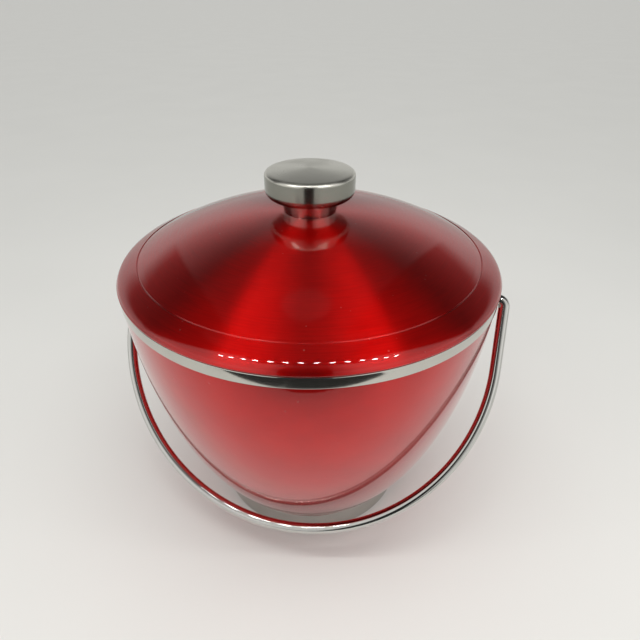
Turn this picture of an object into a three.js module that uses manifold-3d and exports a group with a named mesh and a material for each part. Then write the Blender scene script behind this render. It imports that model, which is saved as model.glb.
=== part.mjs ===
// A double-walled ice bucket with a lift-off lid and a swinging bail handle.
//
// Units are millimetres and +Z is up. The origin is the centre of the face that
// the bucket rests on. The bail turns about the X axis direction, and at rest it
// leans forward, towards -Y. Heights of the lid's own pieces are measured from
// the lid's lower edge, and the lid group lifts them to the top of the bucket.

import * as THREE from 'three'
import { mergeVertices } from 'three/addons/utils/BufferGeometryUtils.js'
import Module from 'manifold-3d'

const wasm = await Module()
wasm.setup()

// ---------------------------------------------------------------- dimensions

const SEGMENTS = 40          // facets round the large turned pieces
const SMALL_SEGMENTS = 20    // facets round the small turned pieces
const GAP = 0.3              // clearance between pieces that touch

// Overall
const LID_RADIUS = 114
const LID_EDGE_Z = 177.5

// Bowl: the outer wall is part of an ellipse turned about Z
const BOWL_HALF_WIDTH = 113.3
const BOWL_HALF_HEIGHT = 210.3
const BOWL_CENTRE_Z = LID_EDGE_Z + 6.8
const BOWL_BOTTOM_Z = 13.5
const BOWL_CORNER = 1.5
const SHELL_WALL = 1

// Rim band, which caps both walls
const BAND_RADIUS = 113.6
const BAND_TOP_Z = LID_EDGE_Z - GAP
const BAND_BOTTOM_Z = LID_EDGE_Z - 6.8
const BAND_WALL = 1
const BAND_EDGE = 0.7

// Liner: a second, narrower ellipse with a flat bottom and a flange
const LINER_HALF_WIDTH = 102.2
const LINER_HALF_HEIGHT = 190
const LINER_BOTTOM_Z = 28
const LINER_WALL = 0.9

// Foam cup between the walls
const FOAM_LIFT = 4          // above the shell's floor
const FOAM_TOP_DROP = 12     // below the bail's pivot

// Foot
const FOOT_RADIUS = 67.5
const FOOT_TOP_RADIUS = 66.2
const FOOT_WALL = 1.2
const FOOT_BOTTOM_Z = 0.5
const FOOT_LIP = 7
const BASE_PLATE_RADIUS = 64.6
const BASE_PLATE_Z = 2
const BASE_PLATE_THICK = 1.2
const PAD_RADIUS = 58.5
const PAD_THICK = 1.7
const SCREW_CIRCLE = 40
const SCREW_COUNT = 3
const SCREW_SHANK = 1.9
const SCREW_HEAD = 3.6
const SCREW_HEAD_Z = 0.4
const SCREW_CHAMFER = 0.5
const SCREW_REACH = 3.5
const SCREW_WELL = 4.6

// Lid, measured from its lower edge
const DOME_RISE = 27.7
const DOME_FULLNESS = 2.35
const SHOULDER = 5.2
const DOME_RADIUS = LID_RADIUS - SHOULDER
const STEP_INNER = 98.3
const STEP_OUTER = 101.5
const STEP_DROP = 0.8
const BEAD_RADIUS = 0.9
const SEAT_RADIUS = 17
const LID_WALL = 1
const PAN_FLANGE_RADIUS = 111.4
const PAN_RADIUS = 98.6
const PAN_DEPTH = 10
const PAN_WALL = 0.9
const PAN_CORNER = 2
const GASKET_HALF_HEIGHT = 1.8
const GASKET_BULGE = 1.9

// Knob
const CAP_RADIUS = 25.9
const CAP_BOTTOM = 41
const CAP_SIDE_LOW = 45.7
const CAP_SIDE_HIGH = 54.2
const CAP_CROWN = 57.3
const CAP_EDGE = 1.5
const CAP_FACE_RADIUS = 22
const KNOB_SEGMENTS = 32
const NECK_TOP_RADIUS = 16.4
const NECK_FOOT_RADIUS = 15.3
const NECK_COLLAR = 2
const STUD_RADIUS = 3
const STUD_TOP = 50
const STUD_BOTTOM = -18.5
const WASHER_RADIUS = 8
const WASHER_THICK = 1.2
const WASHER_TOP = -PAN_DEPTH - PAN_WALL - GAP
const NUT_ACROSS_CORNERS = 11.5
const NUT_HEIGHT = 5

// Bail: a round rod, bent inwards at both ends to make its own pivot pins
const ROD_RADIUS = 3.175
const ROD_SIDES = 12         // an arc takes two of these for each curve segment
const PIVOT_Z = 165.5
const BAIL_HALF_SPAN = 118.3
const BAIL_ARM = 40.6
const BAIL_CORNER = 4
const PIN_END = 105.5
const BAIL_LEAN = THREE.MathUtils.degToRad(34.3)
const BUSH_HOLE = 4.3
const BUSH_OUTER = 4
const BUSH_BORE = 3.5
const BUSH_FLANGE = 4.9
const BUSH_IN = 109.4
const BUSH_FLANGE_IN = 113.4
const BUSH_OUT = 114.5
const RETAINER_RADIUS = 6.2
const RETAINER_THICK = 1.1

// ------------------------------------------------------------------- helpers

const point = (r, z) => new THREE.Vector2(r, z)

// A turned solid about Z from a closed outline of (radius, height) points.
function turned(outline, segments = SEGMENTS) {
  const closed = outline[0].x === 0 ? outline : [...outline, outline[0].clone()]
  return new THREE.LatheGeometry(closed, segments).rotateX(Math.PI / 2)
}

// Points on the ellipse r = a * sqrt(1 - (h / b)^2), h measured down from centreZ.
function ellipseWall(a, b, centreZ, fromZ, toZ, count) {
  return Array.from({ length: count + 1 }, (_, i) => {
    const z = THREE.MathUtils.lerp(fromZ, toZ, i / count)
    return point(a * Math.sqrt(1 - ((centreZ - z) / b) ** 2), z)
  })
}

// Points on a circular arc in the (radius, height) plane, angles in degrees.
function arc(r, z, radius, fromDeg, toDeg, count) {
  return Array.from({ length: count + 1 }, (_, i) => {
    const angle = THREE.MathUtils.degToRad(THREE.MathUtils.lerp(fromDeg, toDeg, i / count))
    return point(r + radius * Math.cos(angle), z + radius * Math.sin(angle))
  })
}

function cylinder(radius, fromZ, toZ, segments = SMALL_SEGMENTS) {
  const height = toZ - fromZ
  const shape = new THREE.CylinderGeometry(radius, radius, height, segments)
  return shape.rotateX(Math.PI / 2).translate(0, 0, fromZ + height / 2)
}

function toManifold(geometry) {
  const bare = geometry.clone()
  bare.deleteAttribute('normal')
  bare.deleteAttribute('uv')
  const merged = mergeVertices(bare, 1e-4)
  const vertProperties = new Float32Array(merged.attributes.position.array)
  const triVerts = new Uint32Array(merged.index.array)
  return new wasm.Manifold(new wasm.Mesh({ numProp: 3, vertProperties, triVerts }))
}

function fromManifold(solid) {
  const mesh = solid.getMesh()
  const geometry = new THREE.BufferGeometry()
  geometry.setAttribute('position', new THREE.BufferAttribute(mesh.vertProperties, 3))
  geometry.setIndex(new THREE.BufferAttribute(mesh.triVerts, 1))
  return geometry
}

// The first geometry with every one of the cutters taken out of it.
function cut(geometry, cutters) {
  const result = cutters.reduce(
    (solid, cutter) => solid.subtract(toManifold(cutter)),
    toManifold(geometry),
  )
  return fromManifold(result)
}

// Lays a piece made about Z down so that its axis runs outwards along +X or -X.
function alongX(geometry, side) {
  const laid = geometry.clone().rotateY(Math.PI / 2)
  return side < 0 ? laid.rotateZ(Math.PI) : laid
}

const screwPlaces = Array.from({ length: SCREW_COUNT }, (_, i) => {
  const angle = Math.PI / 2 + (i * 2 * Math.PI) / SCREW_COUNT
  return [SCREW_CIRCLE * Math.cos(angle), SCREW_CIRCLE * Math.sin(angle)]
})

// ----------------------------------------------------------------- materials

function finish(color, roughness, metalness) {
  return { color, roughness, metalness }
}

const RED_LACQUER = finish(0xa81c1c, 0.25, 0.6)
const POLISHED_STEEL = finish(0xc9cac6, 0.12, 1)
const BRUSHED_STEEL = finish(0xb4b5b1, 0.35, 1)
const RUBBER = finish(0x1c1c1c, 0.9, 0)
const SILICONE = finish(0xd9d8d2, 0.7, 0)
const FOAM = finish(0xe8e3d2, 0.95, 0)
const NYLON = finish(0xece9df, 0.5, 0)

const bucket = new THREE.Group()
const lid = new THREE.Group()
const bail = new THREE.Group()
lid.position.z = LID_EDGE_Z
bail.position.z = PIVOT_Z
bail.rotation.x = -BAIL_LEAN
bucket.add(lid, bail)

function add(parent, name, geometry, look) {
  const mesh = new THREE.Mesh(geometry, new THREE.MeshStandardMaterial(look))
  mesh.name = name
  parent.add(mesh)
}

// -------------------------------------------------------------------- bucket

// The red outer wall steps in under the rim band and closes under the bucket.
function outerShell() {
  const shoulderZ = BAND_BOTTOM_Z - GAP
  const neckRadius = BAND_RADIUS - BAND_WALL - GAP
  const neckTopZ = BAND_TOP_Z - BAND_WALL - LINER_WALL - 2 * GAP
  const cornerZ = BOWL_BOTTOM_Z + BOWL_CORNER
  const outer = ellipseWall(BOWL_HALF_WIDTH, BOWL_HALF_HEIGHT, BOWL_CENTRE_Z, cornerZ, shoulderZ, 9)
  const corner = arc(outer[0].x - BOWL_CORNER, cornerZ, BOWL_CORNER, -90, -30, 2)
  const inner = ellipseWall(
    BOWL_HALF_WIDTH - SHELL_WALL, BOWL_HALF_HEIGHT - SHELL_WALL, BOWL_CENTRE_Z,
    shoulderZ - SHELL_WALL, BOWL_BOTTOM_Z + SHELL_WALL, 7,
  )
  const wall = turned([
    point(0, BOWL_BOTTOM_Z),
    ...corner,
    ...outer,
    point(neckRadius, shoulderZ),
    point(neckRadius, neckTopZ),
    point(neckRadius - SHELL_WALL, neckTopZ),
    ...inner,
    point(0, BOWL_BOTTOM_Z + SHELL_WALL),
  ])
  const pinHoles = [1, -1].map((side) =>
    alongX(cylinder(BUSH_HOLE, PIN_END, BAIL_HALF_SPAN), side).translate(0, 0, PIVOT_Z))
  const screwHoles = screwPlaces.map(([x, y]) =>
    cylinder(SCREW_SHANK + GAP, 0, BOWL_BOTTOM_Z + BOWL_CORNER * 2).translate(x, y, 0))
  return cut(wall, [...pinHoles, ...screwHoles])
}

// The steel bowl that holds the ice, hung from its flange under the rim band.
function innerLiner() {
  const flangeTopZ = BAND_TOP_Z - BAND_WALL - GAP
  const flangeRadius = BAND_RADIUS - BAND_WALL - GAP
  const flangeLowZ = flangeTopZ - LINER_WALL
  const outer = ellipseWall(
    LINER_HALF_WIDTH, LINER_HALF_HEIGHT, BOWL_CENTRE_Z, LINER_BOTTOM_Z, flangeLowZ, 7,
  )
  const inner = ellipseWall(
    LINER_HALF_WIDTH - LINER_WALL, LINER_HALF_HEIGHT - LINER_WALL, BOWL_CENTRE_Z,
    flangeTopZ, LINER_BOTTOM_Z + LINER_WALL, 7,
  )
  return turned([
    point(0, LINER_BOTTOM_Z),
    ...outer,
    point(flangeRadius, flangeLowZ),
    point(flangeRadius, flangeTopZ),
    ...inner,
    point(0, LINER_BOTTOM_Z + LINER_WALL),
  ])
}

// A foam cup between the two walls, which stops below the bail's pins.
function wallInsulation() {
  const bottomZ = BOWL_BOTTOM_Z + SHELL_WALL + FOAM_LIFT
  const topZ = PIVOT_Z - FOAM_TOP_DROP
  const clear = SHELL_WALL + 2 * GAP
  const outer = ellipseWall(
    BOWL_HALF_WIDTH - clear, BOWL_HALF_HEIGHT - clear, BOWL_CENTRE_Z, bottomZ, topZ, 5,
  )
  const inner = ellipseWall(
    LINER_HALF_WIDTH + 2 * GAP, LINER_HALF_HEIGHT + 2 * GAP, BOWL_CENTRE_Z,
    topZ, LINER_BOTTOM_Z - 2 * GAP, 5,
  )
  return turned([point(0, bottomZ), ...outer, ...inner, point(0, LINER_BOTTOM_Z - 2 * GAP)])
}

// The polished ring that clips over the top of both walls.
function rimBand() {
  const inside = LINER_HALF_WIDTH - LINER_WALL
  const edge = BAND_RADIUS - BAND_EDGE
  const wallInside = BAND_RADIUS - BAND_WALL
  return turned([
    point(wallInside, BAND_BOTTOM_Z),
    ...arc(edge, BAND_BOTTOM_Z + BAND_EDGE, BAND_EDGE, -70, 0, 2),
    ...arc(edge, BAND_TOP_Z - BAND_EDGE, BAND_EDGE, 0, 90, 3),
    point(inside, BAND_TOP_Z),
    point(inside, BAND_TOP_Z - BAND_WALL),
    point(wallInside, BAND_TOP_Z - BAND_WALL),
  ])
}

add(bucket, 'outer_shell', outerShell(), RED_LACQUER)
add(bucket, 'inner_liner', innerLiner(), BRUSHED_STEEL)
add(bucket, 'wall_insulation', wallInsulation(), FOAM)
add(bucket, 'rim_band', rimBand(), POLISHED_STEEL)

// ---------------------------------------------------------------------- foot

function footRing() {
  const topZ = BOWL_BOTTOM_Z - GAP
  const lipInside = FOOT_RADIUS - FOOT_LIP
  const lipTopZ = FOOT_BOTTOM_Z + FOOT_WALL
  return turned([
    point(lipInside, FOOT_BOTTOM_Z),
    ...arc(FOOT_RADIUS - FOOT_WALL, lipTopZ, FOOT_WALL, -90, 0, 3),
    point(FOOT_TOP_RADIUS, topZ),
    point(lipInside, topZ),
    point(lipInside, topZ - FOOT_WALL),
    point(FOOT_TOP_RADIUS - FOOT_WALL, topZ - FOOT_WALL),
    point(FOOT_RADIUS - FOOT_WALL, lipTopZ),
    point(lipInside, lipTopZ),
  ])
}

function basePlate() {
  const plate = turned([
    point(0, BASE_PLATE_Z),
    point(BASE_PLATE_RADIUS, BASE_PLATE_Z),
    point(BASE_PLATE_RADIUS, BASE_PLATE_Z + BASE_PLATE_THICK),
    point(0, BASE_PLATE_Z + BASE_PLATE_THICK),
  ])
  return cut(plate, screwPlaces.map(([x, y]) =>
    cylinder(SCREW_SHANK + GAP, 0, 2 * BASE_PLATE_Z).translate(x, y, 0)))
}

// The non-slip disc that the bucket stands on, with a well for each screw head.
function basePad() {
  const pad = turned([
    point(0, 0),
    point(PAD_RADIUS, 0),
    point(PAD_RADIUS, PAD_THICK),
    point(0, PAD_THICK),
  ])
  return cut(pad, screwPlaces.map(([x, y]) =>
    cylinder(SCREW_WELL, -PAD_THICK, 2 * PAD_THICK).translate(x, y, 0)))
}

function baseScrew() {
  const headTopZ = BASE_PLATE_Z - GAP / 2
  const tipZ = BOWL_BOTTOM_Z + SCREW_REACH
  return turned([
    point(0, SCREW_HEAD_Z),
    point(SCREW_HEAD - SCREW_CHAMFER, SCREW_HEAD_Z),
    point(SCREW_HEAD, SCREW_HEAD_Z + SCREW_CHAMFER),
    point(SCREW_HEAD, headTopZ),
    point(SCREW_SHANK, headTopZ),
    point(SCREW_SHANK, tipZ - SCREW_CHAMFER),
    point(0, tipZ),
  ], SMALL_SEGMENTS / 2)
}

add(bucket, 'foot_ring', footRing(), POLISHED_STEEL)
add(bucket, 'base_plate', basePlate(), BRUSHED_STEEL)
add(bucket, 'base_pad', basePad(), RUBBER)
screwPlaces.forEach(([x, y], i) => {
  add(bucket, `base_screw_${i + 1}`, baseScrew().translate(x, y, 0), BRUSHED_STEEL)
})

// ----------------------------------------------------------------------- lid

// Height of the dome's skin above the lid's edge at a given radius.
function domeHeight(r) {
  return SHOULDER + DOME_RISE * (1 - (r / DOME_RADIUS) ** DOME_FULLNESS)
}

// The dome from the knob's flat seat out to the step, offset down by a thickness.
function domePoints(down, fromRadius, count) {
  return Array.from({ length: count + 1 }, (_, i) => {
    const r = THREE.MathUtils.lerp(fromRadius, STEP_INNER, i / count)
    return point(r, domeHeight(r) - down)
  })
}

// The red dome: flat under the knob, a shallow step, a rounded shoulder and a bead.
function lidShell() {
  const seatZ = domeHeight(SEAT_RADIUS)
  const bore = STUD_RADIUS + GAP
  const stepZ = domeHeight(STEP_OUTER) - STEP_DROP
  const bead = arc(LID_RADIUS - BEAD_RADIUS, BEAD_RADIUS, BEAD_RADIUS, 180, 420, 4)
  const shoulderR = LID_RADIUS - SHOULDER - GAP
  return turned([
    point(bore, seatZ - LID_WALL),
    ...domePoints(LID_WALL, SEAT_RADIUS, 4),
    point(STEP_OUTER - GAP, stepZ - LID_WALL),
    ...arc(shoulderR, 0, SHOULDER - LID_WALL, 80, 15, 3),
    ...bead,
    ...arc(shoulderR, 0, SHOULDER, 25, 80, 4),
    point(STEP_OUTER, stepZ),
    ...domePoints(0, SEAT_RADIUS, 6).reverse(),
    point(bore, seatZ),
  ])
}

// The steel pan that closes the lid from below and drops into the liner's mouth.
function lidPan() {
  const bore = STUD_RADIUS + GAP
  const cornerR = PAN_RADIUS - PAN_CORNER
  const cornerZ = PAN_CORNER - PAN_DEPTH - PAN_WALL
  return turned([
    point(bore, -PAN_DEPTH - PAN_WALL),
    ...arc(cornerR, cornerZ, PAN_CORNER, -90, 0, 3),
    point(PAN_RADIUS, 0),
    point(PAN_FLANGE_RADIUS, 0),
    point(PAN_FLANGE_RADIUS, PAN_WALL),
    point(PAN_RADIUS - PAN_WALL, PAN_WALL),
    ...arc(cornerR, cornerZ, PAN_CORNER - PAN_WALL, 0, -90, 2),
    point(bore, -PAN_DEPTH),
  ])
}

// The foam that fills the lid between its dome and its pan.
function lidInsulation() {
  const bore = STUD_RADIUS + 3 * GAP
  const down = LID_WALL + 4 * GAP
  const floor = 2 * GAP - PAN_DEPTH
  const edge = PAN_RADIUS - PAN_WALL - 2 * GAP
  const steps = 4
  const top = Array.from({ length: steps + 1 }, (_, i) => {
    const r = THREE.MathUtils.lerp(edge, SEAT_RADIUS, i / steps)
    return point(r, domeHeight(r) - down)
  })
  return turned([
    point(bore, floor),
    point(edge - PAN_CORNER, floor),
    point(edge, floor + PAN_CORNER),
    ...top,
    point(bore, domeHeight(SEAT_RADIUS) - down),
  ])
}

// A soft ring round the pan's wall that closes the gap to the liner.
function lidGasket() {
  const inside = PAN_RADIUS + GAP
  const middleZ = -PAN_DEPTH / 2
  const bulge = Array.from({ length: 5 }, (_, i) => {
    const angle = (i / 4 - 0.5) * Math.PI
    return point(
      inside + GASKET_BULGE * Math.cos(angle), middleZ + GASKET_HALF_HEIGHT * Math.sin(angle),
    )
  })
  return turned(bulge)
}

add(lid, 'lid_shell', lidShell(), RED_LACQUER)
add(lid, 'lid_pan', lidPan(), BRUSHED_STEEL)
add(lid, 'lid_insulation', lidInsulation(), FOAM)
add(lid, 'lid_gasket', lidGasket(), SILICONE)

// ---------------------------------------------------------------------- knob

// The cap's low crown is part of a sphere, drawn down from the top of its rim.
function knobCap() {
  const bore = STUD_RADIUS + GAP
  const lowRound = CAP_SIDE_LOW - CAP_BOTTOM
  const edge = arc(CAP_RADIUS - CAP_EDGE, CAP_SIDE_HIGH, CAP_EDGE, 0, 75, 3)
  const rim = edge[edge.length - 1]
  const crown = [2 / 3, 1 / 3].map((f) =>
    point(rim.x * f, CAP_CROWN - (CAP_CROWN - rim.y) * f ** 2))
  return turned([
    point(0, STUD_TOP + GAP),
    point(bore, STUD_TOP + GAP),
    point(bore, CAP_BOTTOM),
    point(CAP_FACE_RADIUS, CAP_BOTTOM),
    ...arc(CAP_RADIUS - lowRound, CAP_SIDE_LOW, lowRound, -60, 0, 3),
    ...edge,
    ...crown,
    point(0, CAP_CROWN),
  ], KNOB_SEGMENTS)
}

function knobNeck() {
  const seatZ = domeHeight(SEAT_RADIUS) + GAP
  const topZ = CAP_BOTTOM - GAP
  const bore = STUD_RADIUS + GAP
  return turned([
    point(bore, seatZ),
    point(NECK_FOOT_RADIUS, seatZ),
    point(NECK_FOOT_RADIUS, seatZ + NECK_COLLAR),
    point(NECK_TOP_RADIUS, topZ - NECK_COLLAR),
    point(NECK_TOP_RADIUS, topZ),
    point(bore, topZ),
  ], KNOB_SEGMENTS)
}

function knobWasher() {
  return turned([
    point(STUD_RADIUS + GAP, WASHER_TOP - WASHER_THICK),
    point(WASHER_RADIUS, WASHER_TOP - WASHER_THICK),
    point(WASHER_RADIUS, WASHER_TOP),
    point(STUD_RADIUS + GAP, WASHER_TOP),
  ], SMALL_SEGMENTS)
}

function knobNut() {
  const top = WASHER_TOP - WASHER_THICK - GAP
  const blank = cylinder(NUT_ACROSS_CORNERS / 2, top - NUT_HEIGHT, top, 6)
  return cut(blank, [cylinder(STUD_RADIUS + GAP, STUD_BOTTOM, 0)])
}

add(lid, 'knob_cap', knobCap(), POLISHED_STEEL)
add(lid, 'knob_neck', knobNeck(), POLISHED_STEEL)
add(lid, 'knob_stud', cylinder(STUD_RADIUS, STUD_BOTTOM, STUD_TOP), BRUSHED_STEEL)
add(lid, 'knob_washer', knobWasher(), BRUSHED_STEEL)
add(lid, 'knob_nut', knobNut(), BRUSHED_STEEL)

// ---------------------------------------------------------------------- bail

// The rod's centre line: pin, corner, arm, half circle, arm, corner, pin. Each
// stretch takes as many steps as its shape needs, so the straight ones take one.
class BailPath extends THREE.Curve {
  constructor() {
    super()
    const line = (x0, z0, x1, z1) => ({
      steps: 1,
      at: (s) => new THREE.Vector3(
        THREE.MathUtils.lerp(x0, x1, s), 0, THREE.MathUtils.lerp(z0, z1, s),
      ),
    })
    const bend = (x, z, radius, from, to, steps) => ({
      steps,
      at: (s) => {
        const angle = THREE.MathUtils.lerp(from, to, s)
        return new THREE.Vector3(x + radius * Math.cos(angle), 0, z + radius * Math.sin(angle))
      },
    })
    const cornerX = BAIL_HALF_SPAN - BAIL_CORNER
    this.pieces = [
      line(PIN_END, 0, cornerX, 0),
      bend(cornerX, -BAIL_CORNER, BAIL_CORNER, Math.PI / 2, 0, 4),
      line(BAIL_HALF_SPAN, -BAIL_CORNER, BAIL_HALF_SPAN, -BAIL_ARM),
      bend(0, -BAIL_ARM, BAIL_HALF_SPAN, 0, -Math.PI, 36),
      line(-BAIL_HALF_SPAN, -BAIL_ARM, -BAIL_HALF_SPAN, -BAIL_CORNER),
      bend(-cornerX, -BAIL_CORNER, BAIL_CORNER, Math.PI, Math.PI / 2, 4),
      line(-cornerX, 0, -PIN_END, 0),
    ]
    this.steps = this.pieces.reduce((sum, piece) => sum + piece.steps, 0)
  }

  getPoint(t) {
    let left = t * this.steps
    const last = this.pieces[this.pieces.length - 1]
    for (const piece of this.pieces) {
      if (left <= piece.steps || piece === last) return piece.at(Math.min(left / piece.steps, 1))
      left -= piece.steps
    }
    return last.at(1)
  }

  // Steps are spaced by stretch, not by length.
  getUtoTmapping(u) {
    return u
  }
}

function bailRod() {
  const path = new BailPath()
  const section = new THREE.Shape()
  section.absarc(0, 0, ROD_RADIUS, 0, 2 * Math.PI, false)
  return new THREE.ExtrudeGeometry(section, {
    extrudePath: path, steps: path.steps, curveSegments: ROD_SIDES / 2, bevelEnabled: false,
  })
}

function bailBush() {
  return turned([
    point(BUSH_BORE, BUSH_IN),
    point(BUSH_OUTER, BUSH_IN),
    point(BUSH_OUTER, BUSH_FLANGE_IN),
    point(BUSH_FLANGE, BUSH_FLANGE_IN),
    point(BUSH_FLANGE, BUSH_OUT),
    point(BUSH_BORE, BUSH_OUT),
  ], SMALL_SEGMENTS)
}

// A push-on ring on each pin, inside the wall, that keeps the bail in its bushes.
function bailRetainer() {
  const outerX = BUSH_IN - GAP
  return turned([
    point(BUSH_BORE, outerX - RETAINER_THICK),
    point(RETAINER_RADIUS, outerX - RETAINER_THICK),
    point(RETAINER_RADIUS, outerX),
    point(BUSH_BORE, outerX),
  ], SMALL_SEGMENTS)
}

add(bail, 'bail_rod', bailRod(), POLISHED_STEEL)
for (const [label, side] of [['right', 1], ['left', -1]]) {
  add(bucket, `bail_bush_${label}`, alongX(bailBush(), side).translate(0, 0, PIVOT_Z), NYLON)
  add(bail, `bail_retainer_${label}`, alongX(bailRetainer(), side), BRUSHED_STEEL)
}

export default bucket
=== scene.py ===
"""Looks for the ice bucket: smooth visible pieces, materials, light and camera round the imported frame.

Outlines are written in millimetres, in the frame's own axes, and turned into metres by MM. The bucket's
axis is Z, the bail turns about X, and the bail leans towards -Y at rest.
"""

import math

import bmesh
import bpy
from mathutils import Matrix, Vector


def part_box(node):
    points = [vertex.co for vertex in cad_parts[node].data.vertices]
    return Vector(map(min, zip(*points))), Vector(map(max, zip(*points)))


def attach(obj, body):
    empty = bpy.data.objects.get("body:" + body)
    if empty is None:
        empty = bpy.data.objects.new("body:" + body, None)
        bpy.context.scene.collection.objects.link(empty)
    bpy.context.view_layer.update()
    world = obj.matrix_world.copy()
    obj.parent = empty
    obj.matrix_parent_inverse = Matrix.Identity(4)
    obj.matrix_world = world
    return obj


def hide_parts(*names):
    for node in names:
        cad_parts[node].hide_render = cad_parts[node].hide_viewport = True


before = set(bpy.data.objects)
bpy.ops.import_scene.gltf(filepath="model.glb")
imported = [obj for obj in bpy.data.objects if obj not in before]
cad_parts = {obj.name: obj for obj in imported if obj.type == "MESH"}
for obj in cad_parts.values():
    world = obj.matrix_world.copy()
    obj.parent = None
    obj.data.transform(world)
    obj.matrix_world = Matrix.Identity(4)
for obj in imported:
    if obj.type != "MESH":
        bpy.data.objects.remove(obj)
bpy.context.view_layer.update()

# ------------------------------------------------------------------ dimensions, mm

MM = 0.001
GAP = 0.3                    # between pieces that lie against each other
SMOOTH = 256                 # segments round the large turned pieces
FINE = 192                   # segments round the knob
SMALL = 48                   # segments round the small turned pieces
SHARP = 38                   # degrees between two faces that read as an edge
WELD = 1e-7                  # metres: points nearer than this become one
ON_AXIS = 1e-6               # a smaller radius is a point on the axis
NO_SIDE = 1e-9               # a corner beside a shorter side isn't rounded
FILLET_SHARE = 0.45          # the most of a side that the fillet at its end takes

LID_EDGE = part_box("lid_shell")[0].z / MM
LID_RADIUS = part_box("lid_shell")[1].x / MM
BAND_LOW, BAND_HIGH = (corner.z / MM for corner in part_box("rim_band"))
BAND_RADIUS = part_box("rim_band")[1].x / MM
BAND_WALL = 1.0
BOWL_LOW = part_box("outer_shell")[0].z / MM
BOWL_HALF_WIDTH = 113.3
BOWL_HALF_HEIGHT = 210.3
BOWL_CENTRE = LID_EDGE + 6.8
BOWL_WALL = 1.0
BOWL_CORNER = 1.5
LINER_HALF_WIDTH = 102.2
LINER_HALF_HEIGHT = 190.0
LINER_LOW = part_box("inner_liner")[0].z / MM
LINER_WALL = 0.9
SCREW_CIRCLE = 40.0
SCREW_HOLE = 2.2

DOME_RISE = 27.7
DOME_FULLNESS = 2.35         # 2 is a parabola, and more is fuller towards the edge
SHOULDER = 5.2
DOME_RADIUS = LID_RADIUS - SHOULDER
DOME_WALL = 1.0
CREASE_IN = 98.3
CREASE_OUT = 101.5
SEAT_RADIUS = 17.0
PAN_RADIUS = 98.6
PAN_DEPTH = 10.0
PAN_FLANGE = 111.4
STUD_RADIUS = 3.0
STUD_BORE = STUD_RADIUS + GAP

ROD_RADIUS = 3.175
PIVOT_Z = 165.5
PIVOT_HOLE = 4.3
BAIL_SPAN = 118.3            # from the axis to the rod's centre line
BAIL_ARM = 40.6
BAIL_CORNER = 4.0
PIN_END = 105.5
BAIL_LEAN = math.radians(34.3)

# ------------------------------------------------------------------ mesh helpers


def new_piece(name, mesh):
    piece = bpy.data.objects.new(name, mesh)
    bpy.context.scene.collection.objects.link(piece)
    return piece


def finish_mesh(mesh, sharp_degrees=SHARP):
    """Outward normals, smooth faces, and a crease only where two faces meet sharply."""
    bm = bmesh.new()
    bm.from_mesh(mesh)
    bmesh.ops.remove_doubles(bm, verts=bm.verts, dist=WELD)
    bmesh.ops.recalc_face_normals(bm, faces=bm.faces)
    bm.to_mesh(mesh)
    bm.free()
    mesh.polygons.foreach_set("use_smooth", [True] * len(mesh.polygons))
    mesh.set_sharp_from_angle(angle=math.radians(sharp_degrees))
    mesh.update()


def heights(node):
    """A CAD node's lowest and highest points."""
    low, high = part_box(node)
    return low.z / MM, high.z / MM


def rounded(corners, steps=5):
    """Points of an outline whose corners are (r, z) or (r, z, fillet radius)."""
    points = []
    for i, corner in enumerate(corners):
        here = Vector(corner[:2])
        radius = corner[2] if len(corner) > 2 else 0
        before = Vector(corners[i - 1][:2]) - here
        after = Vector(corners[(i + 1) % len(corners)][:2]) - here
        if not radius or min(before.length, after.length) < NO_SIDE:
            points.append(here)
            continue
        half = before.angle(after) / 2
        reach = min(radius / math.tan(half), FILLET_SHARE * before.length, FILLET_SHARE * after.length)
        start = here + before.normalized() * reach
        end = here + after.normalized() * reach
        for k in range(steps + 1):
            t = k / steps
            points.append(start.lerp(here, t).lerp(here.lerp(end, t), t))
    return points


def arc(r, z, radius, start, end, steps):
    """Points on an arc in the (radius, height) plane, angles in degrees."""
    angles = [math.radians(start + (end - start) * k / steps) for k in range(steps + 1)]
    return [(r + radius * math.cos(a), z + radius * math.sin(a)) for a in angles]


def bend(start, first, second, end, steps):
    """Points of a Bezier curve in the (radius, height) plane, its own ends included."""
    controls = (start, first, second, end)
    points = []
    for k in range(steps + 1):
        t = k / steps
        weights = ((1 - t) ** 3, 3 * t * (1 - t) ** 2, 3 * t * t * (1 - t), t ** 3)
        points.append(tuple(sum(w * p[i] for w, p in zip(weights, controls)) for i in (0, 1)))
    return points


def ellipse_wall(half_width, half_height, start, end, steps):
    """Points of a bowl's wall, from one height to another."""
    levels = [start + (end - start) * k / steps for k in range(steps + 1)]
    return [(half_width * math.sqrt(1 - ((BOWL_CENTRE - z) / half_height) ** 2), z) for z in levels]


def turned(name, outline, segments=SMOOTH, place=None, sharp_degrees=SHARP):
    """A closed outline of (radius, height) points, turned about Z and then moved by place."""
    vertices = []
    rings = []
    for r, z in outline:
        count = 1 if r < ON_AXIS else segments
        rings.append(range(len(vertices), len(vertices) + count))
        for j in range(count):
            a = 2 * math.pi * j / segments
            vertices.append((r * math.sin(a) * MM, -r * math.cos(a) * MM, z * MM))
    faces = []
    for low, high in zip(rings, rings[1:] + rings[:1]):
        for j in range(segments):
            k = (j + 1) % segments
            face = [low[j % len(low)], low[k % len(low)], high[k % len(high)], high[j % len(high)]]
            face = list(dict.fromkeys(face))
            if len(face) > 2:
                faces.append(face)
    mesh = bpy.data.meshes.new(name)
    mesh.from_pydata(vertices, [], faces)
    if place is not None:
        mesh.transform(place)
    finish_mesh(mesh, sharp_degrees)
    return new_piece(name, mesh)


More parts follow.
